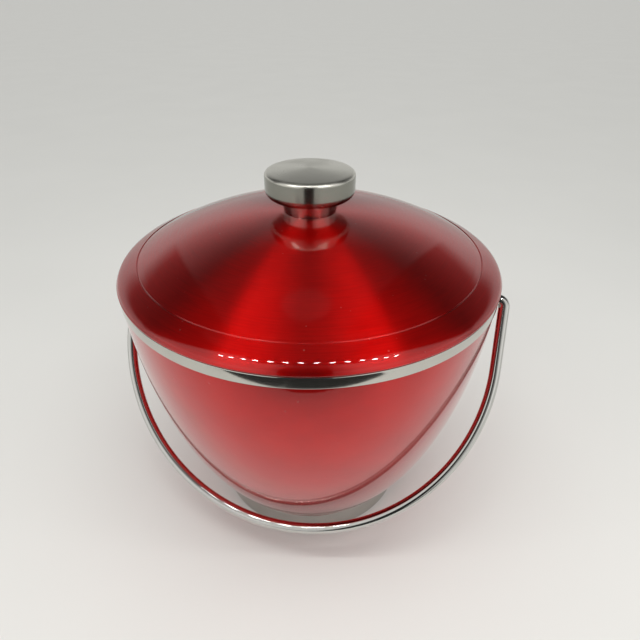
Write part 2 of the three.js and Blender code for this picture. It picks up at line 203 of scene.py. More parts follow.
def combine(piece, cutters, operation="DIFFERENCE"):
    """Applies a boolean with each cutter, which is then removed."""
    for cutter in cutters:
        modifier = piece.modifiers.new("cut", "BOOLEAN")
        modifier.operation = operation
        modifier.solver = "EXACT"
        modifier.object = cutter
    bpy.context.view_layer.update()
    graph = bpy.context.evaluated_depsgraph_get()
    mesh = bpy.data.meshes.new_from_object(piece.evaluated_get(graph))
    piece.modifiers.clear()
    piece.data = mesh
    finish_mesh(mesh)
    for cutter in cutters:
        bpy.data.objects.remove(cutter)
    return piece


def block_cutter(size, place):
    """A box of that size, used only to cut with."""
    bm = bmesh.new()
    bmesh.ops.create_cube(bm, size=1)
    mesh = bpy.data.meshes.new("cutter")
    bm.to_mesh(mesh)
    bm.free()
    mesh.transform(Matrix.Diagonal((*(s * MM for s in size), 1)))
    mesh.transform(place)
    return new_piece("cutter", mesh)


def rod_cutter(radius, low, high, segments, place=None):
    """A round rod from one height to another, used only to cut with."""
    return turned("cutter", [(0, low), (radius, low), (radius, high), (0, high)], segments, place)


def along_x(side):
    """Turns the Z axis to point out along +X or -X, at the bail's pivot."""
    return Matrix.Translation((0, 0, PIVOT_Z * MM)) @ Matrix.Rotation(side * math.pi / 2, 4, "Y")


def at_screw(i):
    """Moves from the bucket's axis to one of the three screws in its foot."""
    angle = math.pi / 2 + i * 2 * math.pi / 3
    return Matrix.Translation((SCREW_CIRCLE * MM * math.cos(angle), SCREW_CIRCLE * MM * math.sin(angle), 0))


def place_piece(piece, body, slot, material, *nodes):
    """Gives a piece its look, the body it rides on and the CAD nodes it stands for. The slot is not used.
    """
    piece.data.materials.clear()
    piece.data.materials.append(material)
    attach(piece, body)
    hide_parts(*nodes)


# ------------------------------------------------------------------ node helpers


class Nodes:
    """Makes and links the nodes of one tree. A value is a number, a colour or another node's socket."""

    def __init__(self, tree):
        self.tree = tree

    def node(self, kind, inputs=None, **properties):
        made = self.tree.nodes.new(kind)
        for key, value in properties.items():
            setattr(made, key, value)
        for key, value in (inputs or {}).items():
            self.feed(made.inputs[key], value)
        return made

    def feed(self, socket, value):
        if isinstance(value, bpy.types.NodeSocket):
            self.tree.links.new(value, socket)
        else:
            socket.default_value = value

    def math(self, operation, a, b=0.0):
        return self.node("ShaderNodeMath", {0: a, 1: b}, operation=operation).outputs[0]

    def add(self, a, b):
        return self.math("ADD", a, b)

    def subtract(self, a, b):
        return self.math("SUBTRACT", a, b)

    def multiply(self, a, b):
        return self.math("MULTIPLY", a, b)

    def divide(self, a, b):
        return self.math("DIVIDE", a, b)

    def larger(self, a, b):
        return self.math("MAXIMUM", a, b)

    def weighted(self, first, *others):
        """The sum of (value, weight) pairs."""
        total = self.multiply(*first)
        for pair in others:
            total = self.add(total, self.multiply(*pair))
        return total

    def length(self, x, y):
        return self.math("SQRT", self.weighted((x, x), (y, y)))

    def remap(self, value, low, high, to_low=0.0, to_high=1.0, kind="LINEAR"):
        sockets = {"Value": value, "From Min": low, "From Max": high, "To Min": to_low, "To Max": to_high}
        return self.node("ShaderNodeMapRange", sockets, interpolation_type=kind).outputs["Result"]

    def fade(self, value, low, high, to_low=0.0, to_high=1.0):
        """As remap, but with a soft start and end."""
        return self.remap(value, low, high, to_low, to_high, "SMOOTHSTEP")

    def between(self, factor, a, b):
        """A number between a and b."""
        return self.node("ShaderNodeMix", {"Factor": factor, "A": a, "B": b}).outputs[0]


class Look(Nodes):
    """A Principled material and the nodes that drive it."""

    def __init__(self, name, **constants):
        self.material = bpy.data.materials.new(name)
        self.material.use_nodes = True
        super().__init__(self.material.node_tree)
        self.shader = self.tree.nodes["Principled BSDF"]
        for key, value in constants.items():
            self.shader.inputs[key.replace("_", " ")].default_value = value
        self.spot = self.node("ShaderNodeTexCoord").outputs["Object"]

    def drive(self, socket_name, value):
        self.feed(self.shader.inputs[socket_name], value)

    def noise(self, scale, detail, vector=None, distortion=0.0):
        where = vector or self.spot
        sockets = {"Vector": where, "Scale": scale, "Detail": detail, "Distortion": distortion}
        return self.node("ShaderNodeTexNoise", sockets).outputs["Fac"]

    def mix(self, factor, a, b):
        """A colour between a and b."""
        mixed = self.node("ShaderNodeMix", data_type="RGBA")
        self.feed(mixed.inputs["Factor"], factor)
        self.feed(mixed.inputs["A"], a)
        self.feed(mixed.inputs["B"], b)
        return mixed.outputs["Result"]

    def polar(self):
        """Radius, angle and height of the spot, about the bucket's axis."""
        x, y, z = self.node("ShaderNodeSeparateXYZ", {0: self.spot}).outputs
        return self.length(x, y), self.math("ARCTAN2", y, x), z

    def turning_marks(self, fineness, run):
        """Noise drawn out round the axis, as a lathe or a polishing wheel leaves it."""
        radius, angle, height = self.polar()
        vector = self.node("ShaderNodeCombineXYZ", {
            0: self.multiply(self.math("COSINE", angle), run),
            1: self.multiply(self.math("SINE", angle), run),
            2: self.multiply(self.add(radius, height), fineness),
        })
        return self.noise(1.0, 4.0, vector.outputs[0])

    def specks(self, spacing, size):
        """1 on small scattered specks, 0 elsewhere; spacing and size in metres."""
        cells = self.node("ShaderNodeTexVoronoi", {"Vector": self.spot, "Scale": 1 / spacing}, feature="F1")
        chosen = self.node("ShaderNodeSeparateXYZ", {0: cells.outputs["Color"]}).outputs[0]
        reach = self.multiply(chosen, size / spacing)
        return self.math("LESS_THAN", cells.outputs["Distance"], reach)

    def bump(self, height, depth, normal=None):
        """A normal for that height, whose full range is depth in metres."""
        sockets = {"Height": height, "Distance": depth}
        if normal is not None:
            sockets["Normal"] = normal
        return self.node("ShaderNodeBump", sockets).outputs["Normal"]

    def brushed_round_axis(self, stretch):
        """Stretches reflections across marks that run round the bucket's axis."""
        self.shader.inputs["Anisotropic"].default_value = stretch
        self.shader.inputs["Anisotropic Rotation"].default_value = 0.25
        tangent = self.node("ShaderNodeTangent", direction_type="RADIAL", axis="Z")
        self.drive("Tangent", tangent.outputs[0])


# ------------------------------------------------------------------ materials

# Each pair is the darker and the lighter tone that a material's own noise moves between
LID_TONES = ((0.56, 0.002, 0.002, 1), (0.72, 0.004, 0.003, 1))
BOWL_TONES = ((0.44, 0.002, 0.002, 1), (0.58, 0.004, 0.003, 1))
BAND_TONES = ((0.50, 0.49, 0.45, 1), (0.61, 0.60, 0.56, 1))
# Darker than the rim band's steel: painted shade, for the shade under the bowl's overhang
FOOT_PAINTED_SHADE_TONES = ((0.44, 0.44, 0.41, 1), (0.56, 0.56, 0.53, 1))
ROD_TONES = ((0.52, 0.52, 0.50, 1), (0.64, 0.64, 0.62, 1))
# The knob side's tones are darkened as painted shade, and its face's tones lightened as painted light
KNOB_SIDE_PAINTED_SHADE_TONES = ((0.24, 0.24, 0.21, 1), (0.37, 0.37, 0.33, 1))
KNOB_NECK_TONES = ((0.50, 0.50, 0.46, 1), (0.62, 0.62, 0.57, 1))
KNOB_FACE_PAINTED_LIGHT_TONES = ((0.66, 0.66, 0.60, 1), (0.79, 0.79, 0.725, 1))
SATIN_TONES = ((0.55, 0.55, 0.53, 1), (0.68, 0.68, 0.66, 1))
ZINC_TONES = ((0.42, 0.43, 0.42, 1), (0.62, 0.62, 0.60, 1))
SILICONE_TONES = ((0.62, 0.61, 0.58, 1), (0.74, 0.73, 0.70, 1))
RUBBER_TONES = ((0.012, 0.012, 0.012, 1), (0.035, 0.035, 0.034, 1))
NYLON_TONES = ((0.72, 0.70, 0.62, 1), (0.82, 0.80, 0.73, 1))
FOAM_TONES = ((0.74, 0.66, 0.46, 1), (0.86, 0.80, 0.62, 1))
FLOOR_TONES = ((0.735, 0.735, 0.72, 1), (0.775, 0.775, 0.76, 1))
DUST_TONE = (0.7, 0.3, 0.27, 1)
FLAG_TONE = (0.02, 0.02, 0.02, 1)


def red_lacquer(name, tones, roughness, stretch, marks_depth, coat_ior):
    """Clear red lacquer over spun metal: streaked metal below, a glossy coat above, a little dust."""
    look = Look(name, Metallic=1.0, Coat_Weight=1.0, Coat_Roughness=0.03, Coat_IOR=coat_ior)
    marks = look.turning_marks(fineness=2600.0, run=5.0)
    cloud = look.noise(scale=45.0, detail=4.0)
    grain = look.noise(scale=900.0, detail=2.0)
    peel = look.noise(scale=70.0, detail=2.0)
    dust = look.specks(spacing=0.006, size=0.0005)
    shade = look.weighted((marks, 0.55), (cloud, 0.45))
    red = look.mix(look.remap(shade, 0.32, 0.68), *tones)
    look.drive("Base Color", look.mix(look.multiply(dust, 0.3), red, DUST_TONE))
    rough = look.remap(look.add(marks, grain), 0.7, 1.3, roughness * 0.92, roughness * 1.1)
    look.drive("Roughness", look.add(rough, look.multiply(dust, 0.15)))
    smooth = look.bump(peel, depth=0.00004)
    look.drive("Normal", look.bump(marks, marks_depth, normal=smooth))
    look.drive("Coat Normal", smooth)
    look.brushed_round_axis(stretch)
    return look.material


def polished_steel(name, tones):
    """Bright polished steel with faint rub marks and soft smears."""
    look = Look(name, Metallic=1.0, Specular_IOR_Level=0.5)
    cloud = look.noise(scale=60.0, detail=4.0)
    marks = look.turning_marks(fineness=3000.0, run=6.0)
    look.drive("Base Color", look.mix(cloud, *tones))
    smears = look.fade(look.noise(scale=25.0, detail=5.0, distortion=1.5), 0.45, 0.7, 0.0, 0.07)
    look.drive("Roughness", look.add(look.remap(marks, 0.3, 0.7, 0.06, 0.12), smears))
    look.drive("Normal", look.bump(marks, depth=0.0000008))
    return look.material


def rod_steel():
    """The bail's polished rod, with draw marks along its length and light handling wear."""
    look = Look("bail_steel_look", Metallic=1.0)
    along = look.node("ShaderNodeUVMap", uv_map="rod").outputs[0]
    stretch = look.node("ShaderNodeMapping", {"Vector": along, "Scale": (1.5, 40.0, 1.0)}).outputs[0]
    drawn = look.noise(scale=4.0, detail=4.0, vector=stretch)
    worn = look.noise(scale=90.0, detail=4.0)
    look.drive("Base Color", look.mix(worn, *ROD_TONES))
    look.drive("Roughness", look.remap(look.add(drawn, worn), 0.7, 1.3, 0.05, 0.12))
    look.drive("Normal", look.bump(drawn, depth=0.000001))
    return look.material


def knob_steel():
    """Turned steel: satin on the cap's flat face, polished on its side and on the neck. The side's colour
    is darkened as painted shade and the face's lightened as painted light.
    """
    look = Look("knob_steel_look", Metallic=1.0)
    marks = look.turning_marks(fineness=4200.0, run=4.0)
    cloud = look.noise(scale=80.0, detail=4.0)
    low, top = (corner.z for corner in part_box("knob_cap"))    # metres, as the nodes see the height
    height = look.polar()[2]
    face = look.fade(height, top - 0.0042, top - 0.0026)
    neck = look.remap(height, low - 0.0004, low, 1.0, 0.0)
    polished = look.remap(marks, 0.3, 0.7, 0.15, 0.25)
    satin = look.remap(look.add(marks, cloud), 0.7, 1.3, 0.27, 0.40)
    # Painted shade on the cap's side and painted light on its flat face, in the base colour
    side_painted_shade_tone = look.mix(marks, *KNOB_SIDE_PAINTED_SHADE_TONES)
    neck_tone = look.mix(marks, *KNOB_NECK_TONES)
    face_painted_light_tone = look.mix(marks, *KNOB_FACE_PAINTED_LIGHT_TONES)
    look.drive("Base Color", look.mix(face, look.mix(neck, side_painted_shade_tone, neck_tone), face_painted_light_tone))
    look.drive("Roughness", look.between(face, polished, satin))
    look.drive("Normal", look.bump(marks, depth=0.000001))
    look.brushed_round_axis(0.5)
    return look.material


def satin_steel():
    """Spun stainless steel with plain turning marks, for the inside and the foot's plate."""
    look = Look("liner_steel_look", Metallic=1.0)
    marks = look.turning_marks(fineness=1800.0, run=5.0)
    cloud = look.noise(scale=30.0, detail=4.0)
    look.drive("Base Color", look.mix(cloud, *SATIN_TONES))
    look.drive("Roughness", look.remap(look.add(marks, cloud), 0.7, 1.3, 0.22, 0.36))
    look.drive("Normal", look.bump(marks, depth=0.000003))
    look.brushed_round_axis(0.6)
    return look.material


def zinc_steel():
    """Dull plated steel with mottled brightness, for the screws, stud, nut, washer and retaining rings."""
    look = Look("fastener_steel_look", Metallic=1.0)
    cloud = look.noise(scale=400.0, detail=5.0)
    grain = look.noise(scale=1500.0, detail=3.0)
    look.drive("Base Color", look.mix(cloud, *ZINC_TONES))
    look.drive("Roughness", look.remap(cloud, 0.3, 0.7, 0.25, 0.45))
    look.drive("Normal", look.bump(grain, depth=0.00001))
    return look.material


def soft_plastic(name, tones, roughness, grain_depth):
    """Moulded rubber, silicone or nylon with a fine grain."""
    look = Look(name, Specular_IOR_Level=0.35)
    cloud = look.noise(scale=50.0, detail=5.0)
    grain = look.noise(scale=1400.0, detail=3.0)
    look.drive("Base Color", look.mix(cloud, *tones))
    look.drive("Roughness", look.remap(grain, 0.3, 0.7, roughness - 0.08, roughness + 0.08))
    look.drive("Normal", look.bump(grain, grain_depth))
    return look.material


def rigid_foam():
    """Cream foam with a skin of small open cells."""
    look = Look("foam_look", Roughness=0.95, Specular_IOR_Level=0.2)
    cells = look.node("ShaderNodeTexVoronoi", {"Vector": look.spot, "Scale": 700.0}).outputs["Distance"]
    look.drive("Base Color", look.mix(look.noise(scale=35.0, detail=4.0), *FOAM_TONES))
    look.drive("Normal", look.bump(cells, depth=0.0003))
    return look.material


# ------------------------------------------------------------------ bucket


def make_bowl():
    """The red outer wall: a neck goes up into the rim band, and holes take the bushes and the screws."""
    shoulder = BAND_LOW - GAP
    neck = BAND_RADIUS - BAND_WALL - GAP
    neck_top = BAND_HIGH - BAND_WALL - LINER_WALL - 2 * GAP
    floor = BOWL_LOW + BOWL_WALL
    outer = ellipse_wall(BOWL_HALF_WIDTH, BOWL_HALF_HEIGHT, BOWL_LOW + BOWL_CORNER, shoulder, 64)
    inner = ellipse_wall(
        BOWL_HALF_WIDTH - BOWL_WALL, BOWL_HALF_HEIGHT - BOWL_WALL, shoulder - BOWL_WALL, floor, 32)
    corner = arc(outer[0][0] - BOWL_CORNER, BOWL_LOW + BOWL_CORNER, BOWL_CORNER, -90, -20, 8)
    bowl = turned("bowl_shell", [
        (0, BOWL_LOW), *corner, *outer, (neck, shoulder), (neck, neck_top), (neck - BOWL_WALL, neck_top),
        *inner, (0, floor),
    ])
    holes = [rod_cutter(PIVOT_HOLE, PIN_END, BAIL_SPAN, SMALL, along_x(side)) for side in (1, -1)]
    holes += [rod_cutter(SCREW_HOLE, 0, floor + 2, SMALL, at_screw(i)) for i in range(3)]
    return combine(bowl, holes)


def make_liner():
    """The steel bowl inside, with a rounded bottom corner and a flange under the rim band."""
    bottom_corner = 6.0
    top = BAND_HIGH - BAND_WALL - GAP
    flange = BAND_RADIUS - BAND_WALL - GAP
    low = top - LINER_WALL
    floor = LINER_LOW + LINER_WALL
    outer = ellipse_wall(LINER_HALF_WIDTH, LINER_HALF_HEIGHT, LINER_LOW, low, 48)
    inner = ellipse_wall(LINER_HALF_WIDTH - LINER_WALL, LINER_HALF_HEIGHT - LINER_WALL, top, floor, 48)
    inner[-1] = (*inner[-1], bottom_corner)
    corners = [(0, LINER_LOW), *outer, (flange, low), (flange, top), *inner, (0, floor)]
    return turned("liner_bowl", rounded(corners, 8))


def make_rim_ring():
    """The steel band that caps both walls."""
    edge = 0.5
    inside = LINER_HALF_WIDTH - LINER_WALL
    hollow = BAND_RADIUS - BAND_WALL
    return turned("rim_ring", [
        (hollow, BAND_LOW),
        *arc(BAND_RADIUS - edge, BAND_LOW + edge, edge, -75, 0, 8),
        *arc(BAND_RADIUS - edge, BAND_HIGH - edge, edge, 0, 90, 10),
        *arc(inside + edge, BAND_HIGH - edge, edge, 90, 270, 10),
        (hollow, BAND_HIGH - BAND_WALL),
    ])


def make_foot():
    """The steel ring that the bucket stands on, turned inwards at its top and bottom."""
    low, high = heights("foot_ring")
    radius = 67.5
    top_radius = 66.2
    lip = 7.0
    wall = 1.2
    return turned("foot_rim", rounded([
        (radius - lip, low), (radius, low, 1.3), (radius - 0.1, low + 2.4, 2.0),
        (top_radius, high - 2.0, 2.0), (top_radius, high, 0.5), (radius - lip, high),
        (radius - lip, high - wall), (top_radius - wall, high - wall, 0.4),
        (radius - wall, low + wall, 0.4), (radius - lip, low + wall),
    ], 8))


def make_screw(i):
    """A cross-recessed screw that holds the foot's plate to the bowl."""
    low, high = heights(f"base_screw_{i + 1}")
    head = 3.6
    shank = 1.9
    under_head = 1.85
    thread_pitch = 0.7
    thread_depth = 0.35
    plain = 1.6              # without thread, at both ends of the shank
    tip = 0.3
    recess_size = (3.4, 0.8, 1.6)
    recess_turn = 0.4
    ridges = []
    z = under_head + plain
    while z < high - plain:
        ridges += [(shank, z), (shank - thread_depth, z + thread_depth)]
        z += thread_pitch
    screw = turned(f"foot_screw_{i + 1}", rounded([
        (0, low), (head, low, 1.0), (head, under_head, 0.2), (shank, under_head),
        *ridges, (tip, high), (0, high),
    ], 6), SMALL, at_screw(i))
    at_head = at_screw(i) @ Matrix.Translation((0, 0, low * MM))
    recess = [
        block_cutter(recess_size, at_head @ Matrix.Rotation(turn + recess_turn, 4, "Z"))
        for turn in (0, math.pi / 2)
    ]
    return combine(screw, recess)


# ------------------------------------------------------------------ lid


def dome(r):
    """Height of the dome above the lid's edge."""
    return SHOULDER + DOME_RISE * (1 - (r / DOME_RADIUS) ** DOME_FULLNESS)


def lid_skin(down, start, end, steps):
    """Points of the dome from one radius to another, or of its underside, that far down."""
    radii = [start + (end - start) * k / steps for k in range(steps + 1)]
    return [(r, LID_EDGE + dome(r) - down) for r in radii]


def make_lid_dome():
    """The red dome, with its flat seat, fine crease, rounded shoulder and rolled bead."""
    bead = 0.9
    seat = LID_EDGE + dome(SEAT_RADIUS)
    crease = LID_EDGE + dome(CREASE_OUT)
    shoulder = bend(
        (LID_RADIUS - 0.5, LID_EDGE + 1.9), (LID_RADIUS - 1.3, LID_EDGE + 5.0), (107.0, LID_EDGE + 7.1),
        (CREASE_OUT + 0.5, crease), 28)
    over = [
        *shoulder, (CREASE_OUT, crease - 0.35, 0.15), (CREASE_OUT - 0.5, crease + 0.2, 0.2),
        (CREASE_IN, LID_EDGE + dome(CREASE_IN), 0.7), *lid_skin(0, CREASE_IN - 1.2, SEAT_RADIUS + 0.4, 90),
        (SEAT_RADIUS, seat, 0.3), (STUD_BORE, seat),
    ]
    under = [
        (STUD_BORE, seat - DOME_WALL), (SEAT_RADIUS, seat - DOME_WALL),
        *lid_skin(DOME_WALL, SEAT_RADIUS + 1, CREASE_IN, 40), (CREASE_OUT - GAP, crease - DOME_WALL),
        *arc(DOME_RADIUS - GAP, LID_EDGE, SHOULDER - DOME_WALL, 74, 15, 12),
    ]
    rolled = arc(LID_RADIUS - bead, LID_EDGE + bead, bead, 180, 405, 18)
    return turned("lid_dome", rounded([*under, *rolled, *over]), sharp_degrees=50)


def make_lid_pan():
    """The steel pan that closes the lid from below, with a flange that lies on the rim."""
    wall = 0.9
    corner = 2.0
    floor = LID_EDGE - PAN_DEPTH
    corner_r = PAN_RADIUS - corner
    corner_z = floor - wall + corner
    neck = rounded([(PAN_RADIUS, LID_EDGE - 1.5), (PAN_RADIUS, LID_EDGE, 0.5), (PAN_FLANGE - 1, LID_EDGE)])
    return turned("lid_floor", [
        (STUD_BORE, floor - wall), *arc(corner_r, corner_z, corner, -90, 0, 10), *neck[1:-1],
        (PAN_FLANGE, LID_EDGE), (PAN_FLANGE, LID_EDGE + wall), (PAN_RADIUS - wall, LID_EDGE + wall),
        *arc(corner_r, corner_z, corner - wall, 0, -90, 8), (STUD_BORE, floor),
    ])


def make_gasket():
    """Two soft lips on a thin band round the pan's wall."""
    half_height = 1.8
    lip_offset = 0.9
    lip_half = 0.5
    middle = LID_EDGE - PAN_DEPTH / 2
    inside = PAN_RADIUS + GAP
    band = inside + 0.7
    lip = inside + 1.9
    corners = [(inside, middle - half_height), (band, middle - half_height, 0.2)]
    for centre in (middle - lip_offset, middle + lip_offset):
        corners += [(band, centre - lip_half, 0.2), (lip, centre, 0.25), (band, centre + lip_half, 0.2)]
    corners += [(band, middle + half_height, 0.2), (inside, middle + half_height)]
    return turned("lid_seal", rounded(corners, 4))


def make_knob_cap():
    """The knob's disc, swelling out from its underside, with a low crown and a socket for the stud."""
    low, high = heights("knob_cap")
    radius = 25.9
    underside = 20.8
    swell = 4.7
    edge = 2.5
    edge_centre = low + 12.1
    crown_steps = 16
    socket_top = heights("knob_stud")[1] + GAP
    side = arc(radius - swell, low + swell, swell, -62, 0, 14)
    rim = arc(radius - edge, edge_centre, edge, 0, 72, 10)
    rim_r, rim_z = rim[-1]
    shares = [k / crown_steps for k in range(crown_steps - 1, -1, -1)]
    crown = [(rim_r * f, high - (high - rim_z) * f ** 2) for f in shares]
    return turned("knob_disc", [
        (0, socket_top), (STUD_BORE, socket_top), (STUD_BORE, low), (underside, low), *side, *rim, *crown,
    ], FINE)


def make_knob_neck():
    """The knob's stem, which flares a little into the cap."""
    low, high = heights("knob_neck")
    foot = 15.3
    top = 16.4
    flare = 2.0
    return turned("knob_stem", rounded([
        (STUD_BORE, low), (foot, low), (top, high - flare, 3.0), (top, high, 0.3), (STUD_BORE, high),
    ], 8), FINE)


def make_stud():
    """A threaded end below the pan, with a plain shank through the lid."""
    low, high = heights("knob_stud")
    pitch = 0.8
    depth = 0.4
    tip = STUD_RADIUS - 0.8
    ridges = []
    z = low + pitch
    while z < LID_EDGE - PAN_DEPTH:
        ridges += [(STUD_RADIUS - depth, z), (STUD_RADIUS, z + pitch / 2)]
        z += pitch
    return turned("lid_stud", rounded([
        (0, low), (tip, low), *ridges, (STUD_RADIUS, z + 1), (STUD_RADIUS, high, 0.5), (0, high),
    ]), SMALL)


def make_washer():
    """The washer between the lid's pan and the nut."""
    low, high = heights("knob_washer")
    radius = 8
    return turned("lid_washer", rounded([
        (STUD_BORE, low, 0.2), (radius, low, 0.35), (radius, high, 0.2), (STUD_BORE, high, 0.1),
    ]), SMALL)


def make_nut():
    """A hexagon nut with its corners turned off at both faces."""
    low, high = heights("knob_nut")
    radius = 5.75            # to a corner of the hexagon
    bevel = 0.7
    lead_in = 0.4
    nut = turned("lid_nut", [
        (STUD_BORE + lead_in, low), (radius - bevel, low), (radius, low + bevel),
        (radius, high - bevel), (radius - bevel, high), (STUD_BORE + lead_in, high),
        (STUD_BORE, high - lead_in), (STUD_BORE, low + lead_in),
    ], SMALL * 2)
    return combine(nut, [rod_cutter(radius, low - 1, high + 1, 6)], "INTERSECT")


# ------------------------------------------------------------------ bail


def bail_line():
    """The rod's centre line in the bail's own plane: (x, height from the pivot, direction angle)."""
    pin_steps = 4
    corner_steps = 10
    arm_steps = 8
    arch_steps = 90
    turn_x = BAIL_SPAN - BAIL_CORNER
    line = [(PIN_END + (turn_x - PIN_END) * k / pin_steps, 0.0, 0.0) for k in range(pin_steps)]
    for k in range(corner_steps + 1):
        a = math.pi / 2 * (1 - k / corner_steps)
        x = turn_x + BAIL_CORNER * math.cos(a)
        line.append((x, -BAIL_CORNER + BAIL_CORNER * math.sin(a), a - math.pi / 2))
    for k in range(1, arm_steps):
        line.append((BAIL_SPAN, -BAIL_CORNER - (BAIL_ARM - BAIL_CORNER) * k / arm_steps, -math.pi / 2))
    for k in range(arch_steps + 1):
        a = -math.pi / 2 * k / arch_steps
        line.append((BAIL_SPAN * math.cos(a), -BAIL_ARM + BAIL_SPAN * math.sin(a), a - math.pi / 2))
    mirrored = [(-x, z, -math.pi * 2 - a) for x, z, a in reversed(line[:-1])]
    return line + mirrored


def make_bail():
    """A round rod swept along its centre line, its cut ends slightly chamfered."""
    sides = 32
    chamfer = 0.5
    end_size = 0.8
    map_units_per_metre = 10
    line = bail_line()
    lean = Matrix.Translation((0, 0, PIVOT_Z * MM)) @ Matrix.Rotation(-BAIL_LEAN, 4, "X")
    stations = [
        (line[0], 0.0, end_size), (line[0], chamfer, 1.0), *((point, 0.0, 1.0) for point in line[1:-1]),
        (line[-1], -chamfer, 1.0), (line[-1], 0.0, end_size),
    ]
    vertices = []
    centres = []
    lengths = [0.0]
    for (x, z, a), shift, size in stations:
        centre = Vector((x + shift * math.cos(a), 0, z + shift * math.sin(a)))
        across = Vector((-math.sin(a), 0, math.cos(a)))
        if centres:
            lengths.append(lengths[-1] + (centre - centres[-1]).length)
        centres.append(centre)
        for k in range(sides):
            t = 2 * math.pi * k / sides
            spot = centre + ROD_RADIUS * size * (math.cos(t) * across + math.sin(t) * Vector((0, 1, 0)))
            vertices.append(lean @ (spot * MM))
    faces = []
    for i in range(len(stations) - 1):
        for k in range(sides):
            n = (k + 1) % sides
            faces.append((i * sides + k, i * sides + n, (i + 1) * sides + n, (i + 1) * sides + k))
    faces.append(tuple(range(sides)))
    faces.append(tuple(range((len(stations) - 1) * sides, len(stations) * sides)))
    mesh = bpy.data.meshes.new("bail_bar")
    mesh.from_pydata(vertices, [], faces)
    layer = mesh.uv_layers.new(name="rod")
    for face in mesh.polygons:
        on_side = len(face.vertices) == 4
        for corner in face.loop_indices:
            ring, side = divmod(mesh.loops[corner].vertex_index, sides)
            closes_ring = on_side and side == 0 and (ring + 1) * sides - 1 in face.vertices
            round_rod = 1.0 if closes_ring else side / sides
            layer.data[corner].uv = (lengths[ring] * MM * map_units_per_metre, round_rod)
    finish_mesh(mesh)
    return new_piece("bail_bar", mesh)


def make_bush(label, side):
    """A flanged bush in the bowl's wall, which the bail's pin turns in."""
    bore = 3.5
    sleeve = 4.0
    flange = 4.9
    inner_end = 109.4
    flange_in = 113.4
    flange_out = 114.5
    return turned(f"pivot_bush_{label}", rounded([
        (bore, inner_end, 0.1), (sleeve, inner_end, 0.2), (sleeve, flange_in), (flange, flange_in),
        (flange, flange_out, 0.4), (bore, flange_out, 0.15),
    ]), SMALL, along_x(side))


def make_retainer(label, side):
    """The ring on the bail's pin, just inside the bush."""
    bore = 3.5
    radius = 6.2
    outer_end = 109.1
    inner_end = outer_end - 1.1
    return turned(f"pivot_ring_{label}", rounded([
        (bore, inner_end, 0.2), (radius, inner_end, 0.35),
        (radius, outer_end, 0.35), (bore, outer_end, 0.2),
    ]), SMALL, along_x(side))


# ------------------------------------------------------------------ assembly


def build():
    """Every visible piece, with its body, look and the CAD nodes that it stands for."""
    lid_red = red_lacquer("lid_lacquer_look", LID_TONES, roughness=0.41, stretch=1.0,
                          marks_depth=0.0000002, coat_ior=1.5)
    bowl_red = red_lacquer("bowl_lacquer_look", BOWL_TONES, roughness=0.20, stretch=0.9,
                           marks_depth=0.0000005, coat_ior=1.42)
    steel = polished_steel("rim_steel_look", BAND_TONES)
    # The foot's steel gets darker tones than the rim's, as painted shade under the bowl's overhang
    foot_painted_shade_steel = polished_steel("foot_painted_shade_steel_look", FOOT_PAINTED_SHADE_TONES)
    knob = knob_steel()
    liner = satin_steel()
    zinc = zinc_steel()
    silicone = soft_plastic("silicone_look", SILICONE_TONES, roughness=0.45, grain_depth=0.00001)
    rubber = soft_plastic("pad_rubber_look", RUBBER_TONES, roughness=0.75, grain_depth=0.00006)
    nylon = soft_plastic("nylon_look", NYLON_TONES, roughness=0.42, grain_depth=0.00001)
    foam = rigid_foam()

    place_piece(make_bowl(), "bucket", "red_lacquer", bowl_red, "outer_shell")
    place_piece(make_liner(), "bucket", "satin_steel", liner, "inner_liner")
    place_piece(make_rim_ring(), "bucket", "polished_steel", steel, "rim_band")
    place_piece(make_foot(), "bucket", "polished_steel", foot_painted_shade_steel, "foot_ring")
    for i in range(3):
        place_piece(make_screw(i), "bucket", "fastener_steel", zinc, f"base_screw_{i + 1}")
    place_piece(make_lid_dome(), "lid", "red_lacquer", lid_red, "lid_shell")
    place_piece(make_lid_pan(), "lid", "satin_steel", liner, "lid_pan")
    place_piece(make_gasket(), "lid", "silicone", silicone, "lid_gasket")
    place_piece(make_knob_cap(), "lid", "knob_steel", knob, "knob_cap")
    place_piece(make_knob_neck(), "lid", "knob_steel", knob, "knob_neck")
    place_piece(make_stud(), "lid", "fastener_steel", zinc, "knob_stud")
    place_piece(make_washer(), "lid", "fastener_steel", zinc, "knob_washer")
    place_piece(make_nut(), "lid", "fastener_steel", zinc, "knob_nut")
    place_piece(make_bail(), "bail", "polished_steel", rod_steel(), "bail_rod")
    for label, side in (("right", 1), ("left", -1)):
        place_piece(make_bush(label, side), "bucket", "nylon", nylon, f"bail_bush_{label}")
        place_piece(make_retainer(label, side), "bail", "fastener_steel", zinc, f"bail_retainer_{label}")
    carried = {"base_plate": liner, "base_pad": rubber, "wall_insulation": foam, "lid_insulation": foam}
    for node, material in carried.items():
        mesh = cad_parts[node].data
        mesh.materials.clear()
        mesh.materials.append(material)


# ------------------------------------------------------------------ stage, metres

TURN = math.radians(13.5)    # the camera stands this far round from -Y towards +X
LOOK_DOWN = 33.54            # degrees
ROLL = 0.40                  # degrees
CAMERA_SPOT = (0.0062, -0.2800, 0.1403)
SENSOR_WIDTH = 36.0          # mm
FOCAL_LENGTH = 28.125        # mm

TENT_WHITE = (1.0, 0.985, 0.96, 1)
ROOM_WHITE = (0.70, 0.70, 0.68, 1)
ROOM_STRENGTH = 1.16
LAMP_WHITE = (1.0, 0.985, 0.965)
DIODE_WHITE = (1.0, 0.98, 0.95)
FLOOR_SIZE = 60.0
SOFT_POWER = 1.7
SOFT_SIZE = (0.6, 0.5)
DIODES = 14
DIODE_SPACING = 0.031
DIODE_RADIUS = 0.006
DIODE_POWER = 0.065
DIODE_EXTRA = 0.055          # comes on top of that from the middle outwards
DIODE_RAMP = 5               # spacings over which it comes in


